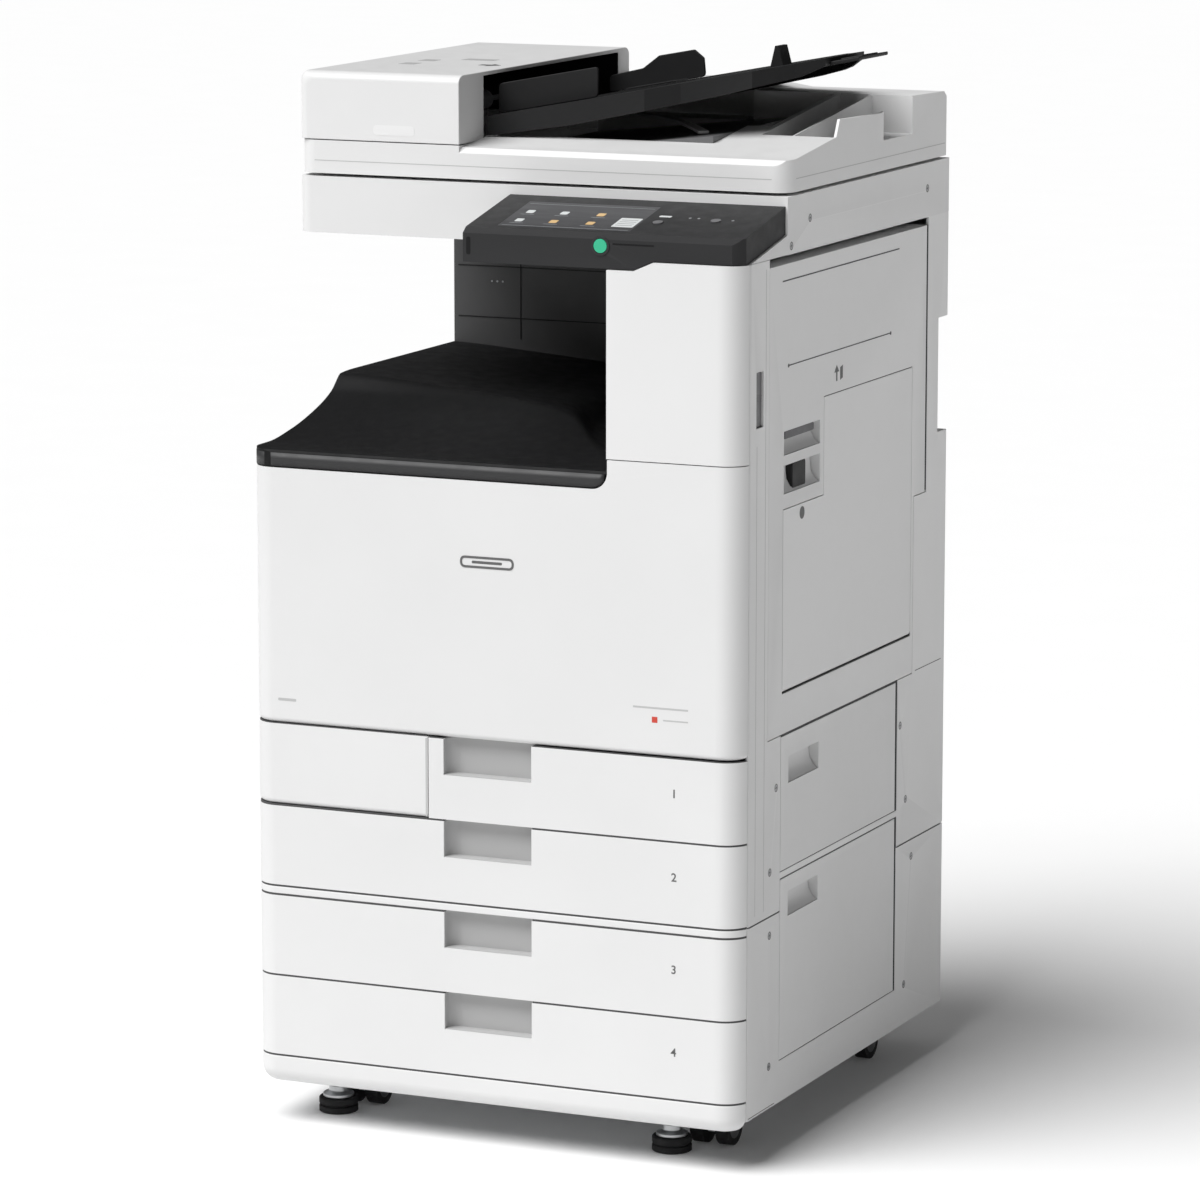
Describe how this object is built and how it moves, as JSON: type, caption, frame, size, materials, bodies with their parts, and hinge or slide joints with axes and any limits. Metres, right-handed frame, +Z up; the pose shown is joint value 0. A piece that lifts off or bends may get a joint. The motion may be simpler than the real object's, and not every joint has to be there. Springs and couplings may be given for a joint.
{
  "type": "photocopier",
  "caption": "Floor-standing office photocopier with stacked paper cassettes, an output tray under the scanner, a touch panel and a document feeder on casters.",
  "frame": {"origin": "on the floor, under the middle of the machine's plan", "axes": "+Z up, -Y out of the front, +X to the right seen from the front"},
  "size_m": [0.585, 0.6144, 1.188],
  "materials": {
    "shell": "fine matte texture, near white",
    "dark_plastic": "fine textured charcoal",
    "bed_plastic": "dark grey, satin",
    "steel": "zinc plated sheet",
    "glass": "clear, polished",
    "screen": "glossy black",
    "green_key": "translucent green",
    "grey_key": "grey, matte",
    "rubber": "soft black",
    "roller_grey": "grey, matte",
    "drum_coating": "smooth glossy coating",
    "unit_grey": "grey, matte",
    "screw": "zinc plated"
  },
  "bodies": {
    "cabinet": {"main_frame": "steel", "front_trim": "shell", "left_cover_lower": "shell", "left_cover_upper": "shell", "right_cover_lower": "shell", "right_front_cover": "shell", "right_rear_cover": "shell", "rear_cover_lower": "shell", "rear_cover_upper": "shell", "cover_screws": "screw", "pillar_cover": "shell", "output_tray": "dark_plastic", "cavity_walls": "dark_plastic", "control_panel_housing": "dark_plastic", "touch_screen": "screen", "scanner_housing": "shell", "scanner_glass": "glass", "developing_unit": "unit_grey", "fixing_unit_frame": "steel", "power_supply": "steel", "mains_inlet": "dark_plastic", "base_fittings": "steel"},
    "front_cover": {"front_cover": "shell"},
    "waste_toner_cover": {"waste_toner_cover": "shell"},
    "cassette_1": {"cassette_1": "shell"},
    "cassette_2": {"cassette_2": "shell"},
    "cassette_3": {"cassette_3": "shell"},
    "cassette_4": {"cassette_4": "shell"},
    "right_door": {"right_door": "shell"},
    "bypass_tray": {"bypass_tray": "shell"},
    "middle_right_door": {"middle_right_door": "shell"},
    "lower_right_door": {"lower_right_door": "shell"},
    "adf_lid": {"adf_lid": "shell", "adf_exit_tray": "bed_plastic"},
    "adf_top_cover": {"adf_top_cover": "shell"},
    "adf_input_tray": {"adf_input_tray": "dark_plastic"},
    "adf_guide_front": {"adf_guide_front": "dark_plastic"},
    "adf_guide_rear": {"adf_guide_rear": "dark_plastic"},
    "adf_tray_extension": {"adf_tray_extension": "dark_plastic"},
    "scan_carriage": {"scan_carriage": "unit_grey"},
    "start_key": {"start_key": "green_key"},
    "home_key": {"home_key": "grey_key"},
    "energy_key": {"energy_key": "grey_key"},
    "power_switch": {"power_switch": "grey_key"},
    "caster_wheel_front_left": {"caster_wheel_front_left": "rubber"},
    "caster_wheel_front_right": {"caster_wheel_front_right": "rubber"},
    "caster_fork_rear_left": {"caster_fork_rear_left": "steel"},
    "caster_wheel_rear_left": {"caster_wheel_rear_left": "rubber"},
    "caster_fork_rear_right": {"caster_fork_rear_right": "steel"},
    "caster_wheel_rear_right": {"caster_wheel_rear_right": "rubber"},
    "levelling_foot_left": {"levelling_foot_left": "dark_plastic"},
    "levelling_foot_right": {"levelling_foot_right": "dark_plastic"},
    "pickup_roller_1": {"pickup_roller_1": "roller_grey"},
    "pickup_roller_2": {"pickup_roller_2": "roller_grey"},
    "pickup_roller_3": {"pickup_roller_3": "roller_grey"},
    "pickup_roller_4": {"pickup_roller_4": "roller_grey"},
    "photosensitive_drum": {"photosensitive_drum": "drum_coating"},
    "fixing_heat_roller": {"fixing_heat_roller": "roller_grey"},
    "fixing_pressure_roller": {"fixing_pressure_roller": "rubber"},
    "adf_feed_roller": {"adf_feed_roller": "roller_grey"}
  },
  "joints": [
    {"name": "front_cover_hinge", "type": "hinge", "parent": "cabinet", "child": "front_cover", "pos_m": [0, -0.30125, 0.46205], "axis": [1, 0, 0], "range_deg": [0, 90]},
    {"name": "cassette_1_slide", "type": "slide", "parent": "cabinet", "child": "cassette_1", "axis": [0, -1, 0], "range_m": [0, 0.36]},
    {"name": "cassette_2_slide", "type": "slide", "parent": "cabinet", "child": "cassette_2", "axis": [0, -1, 0], "range_m": [0, 0.36]},
    {"name": "cassette_3_slide", "type": "slide", "parent": "cabinet", "child": "cassette_3", "axis": [0, -1, 0], "range_m": [0, 0.36]},
    {"name": "cassette_4_slide", "type": "slide", "parent": "cabinet", "child": "cassette_4", "axis": [0, -1, 0], "range_m": [0, 0.36]},
    {"name": "waste_toner_cover_hinge", "type": "hinge", "parent": "cabinet", "child": "waste_toner_cover", "pos_m": [-0.184, -0.30125, 0.3706], "axis": [1, 0, 0], "range_deg": [0, 90]},
    {"name": "right_door_hinge", "type": "hinge", "parent": "cabinet", "child": "right_door", "pos_m": [0.287, 0.23675, 0.721], "axis": [0, 0, 1], "range_deg": [0, 90]},
    {"name": "bypass_tray_hinge", "type": "hinge", "parent": "right_door", "child": "bypass_tray", "pos_m": [0.2875, 0.00225, 0.5161], "axis": [0, 1, 0], "range_deg": [0, 65]},
    {"name": "middle_right_door_hinge", "type": "hinge", "parent": "cabinet", "child": "middle_right_door", "pos_m": [0.287, 0.15015, 0.389], "axis": [0, 0, 1], "range_deg": [0, 90]},
    {"name": "lower_right_door_hinge", "type": "hinge", "parent": "cabinet", "child": "lower_right_door", "pos_m": [0.287, 0.15015, 0.205], "axis": [0, 0, 1], "range_deg": [0, 90]},
    {"name": "adf_lid_hinge", "type": "hinge", "parent": "cabinet", "child": "adf_lid", "pos_m": [0, 0.29275, 1.056], "axis": [-1, 0, 0], "range_deg": [0, 70]},
    {"name": "adf_top_cover_hinge", "type": "hinge", "parent": "adf_lid", "child": "adf_top_cover", "pos_m": [-0.287, 0.05175, 1.0935], "axis": [0, -1, 0], "range_deg": [0, 75]},
    {"name": "adf_input_tray_hinge", "type": "hinge", "parent": "adf_lid", "child": "adf_input_tray", "pos_m": [-0.088, 0.06775, 1.103], "axis": [0, -1, 0], "range_deg": [0, 20]},
    {"name": "adf_guide_front_slide", "type": "slide", "parent": "adf_input_tray", "child": "adf_guide_front", "axis": [0, 1, 0], "range_m": [0, 0.1]},
    {"name": "adf_guide_rear_slide", "type": "slide", "parent": "adf_input_tray", "child": "adf_guide_rear", "axis": [0, 1, 0], "range_m": [-0.1, 0]},
    {"name": "adf_tray_extension_slide", "type": "slide", "parent": "adf_input_tray", "child": "adf_tray_extension", "axis": [0.983, 0, 0.1833], "range_m": [0, 0.05]},
    {"name": "scan_carriage_slide", "type": "slide", "parent": "cabinet", "child": "scan_carriage", "axis": [1, 0, 0], "range_m": [0, 0.4]},
    {"name": "start_key_press", "type": "slide", "parent": "cabinet", "child": "start_key", "axis": [0, 1, 0], "range_m": [0, 0.0012], "stiffness_N_per_m": 500},
    {"name": "home_key_press", "type": "slide", "parent": "cabinet", "child": "home_key", "axis": [0, 0.2078, -0.9782], "range_m": [0, 0.0012], "stiffness_N_per_m": 500},
    {"name": "energy_key_press", "type": "slide", "parent": "cabinet", "child": "energy_key", "axis": [0, 0.2078, -0.9782], "range_m": [0, 0.0012], "stiffness_N_per_m": 500},
    {"name": "power_switch_rock", "type": "hinge", "parent": "cabinet", "child": "power_switch", "pos_m": [0.287, -0.25725, 0.839], "axis": [0, 1, 0], "range_deg": [-4, 4]},
    {"name": "caster_wheel_front_left_roll", "type": "hinge", "parent": "cabinet", "child": "caster_wheel_front_left", "pos_m": [-0.214, -0.18225, 0.0225], "axis": [1, 0, 0], "continuous": true},
    {"name": "caster_wheel_front_right_roll", "type": "hinge", "parent": "cabinet", "child": "caster_wheel_front_right", "pos_m": [0.214, -0.18225, 0.0225], "axis": [1, 0, 0], "continuous": true},
    {"name": "caster_rear_left_swivel", "type": "hinge", "parent": "cabinet", "child": "caster_fork_rear_left", "pos_m": [-0.214, 0.21775, 0.05], "axis": [0, 0, 1], "continuous": true},
    {"name": "caster_wheel_rear_left_roll", "type": "hinge", "parent": "caster_fork_rear_left", "child": "caster_wheel_rear_left", "pos_m": [-0.214, 0.22975, 0.0225], "axis": [1, 0, 0], "continuous": true},
    {"name": "caster_rear_right_swivel", "type": "hinge", "parent": "cabinet", "child": "caster_fork_rear_right", "pos_m": [0.214, 0.21775, 0.05], "axis": [0, 0, 1], "continuous": true},
    {"name": "caster_wheel_rear_right_roll", "type": "hinge", "parent": "caster_fork_rear_right", "child": "caster_wheel_rear_right", "pos_m": [0.214, 0.22975, 0.0225], "axis": [1, 0, 0], "continuous": true},
    {"name": "levelling_foot_left_turn", "type": "hinge", "parent": "cabinet", "child": "levelling_foot_left", "pos_m": [-0.227, -0.22925, 0.01], "axis": [0, 0, 1], "continuous": true},
    {"name": "levelling_foot_right_turn", "type": "hinge", "parent": "cabinet", "child": "levelling_foot_right", "pos_m": [0.181, -0.22925, 0.01], "axis": [0, 0, 1], "continuous": true},
    {"name": "pickup_roller_1_turn", "type": "hinge", "parent": "cabinet", "child": "pickup_roller_1", "pos_m": [0.205, -0.08225, 0.4355], "axis": [0, 1, 0], "continuous": true},
    {"name": "pickup_roller_2_turn", "type": "hinge", "parent": "cabinet", "child": "pickup_roller_2", "pos_m": [0.205, -0.08225, 0.344], "axis": [0, 1, 0], "continuous": true},
    {"name": "pickup_roller_3_turn", "type": "hinge", "parent": "cabinet", "child": "pickup_roller_3", "pos_m": [0.205, -0.08225, 0.2425], "axis": [0, 1, 0], "continuous": true},
    {"name": "pickup_roller_4_turn", "type": "hinge", "parent": "cabinet", "child": "pickup_roller_4", "pos_m": [0.205, -0.08225, 0.151], "axis": [0, 1, 0], "continuous": true},
    {"name": "drum_turn", "type": "hinge", "parent": "cabinet", "child": "photosensitive_drum", "pos_m": [0.178, -0.00725, 0.6], "axis": [0, 1, 0], "continuous": true},
    {"name": "fixing_heat_roller_turn", "type": "hinge", "parent": "cabinet", "child": "fixing_heat_roller", "pos_m": [0.172, -0.00725, 0.8], "axis": [0, 1, 0], "continuous": true},
    {"name": "fixing_pressure_roller_turn", "type": "hinge", "parent": "cabinet", "child": "fixing_pressure_roller", "pos_m": [0.2003, -0.00725, 0.8], "axis": [0, 1, 0], "continuous": true},
    {"name": "adf_feed_roller_turn", "type": "hinge", "parent": "adf_lid", "child": "adf_feed_roller", "pos_m": [-0.16, 0.06775, 1.12], "axis": [0, 1, 0], "continuous": true}
  ],
  "couplings": [
    {"joint": "adf_guide_rear_slide", "follows": "adf_guide_front_slide", "ratio": -1},
    {"joint": "fixing_pressure_roller_turn", "follows": "fixing_heat_roller_turn", "ratio": -1}
  ]
}
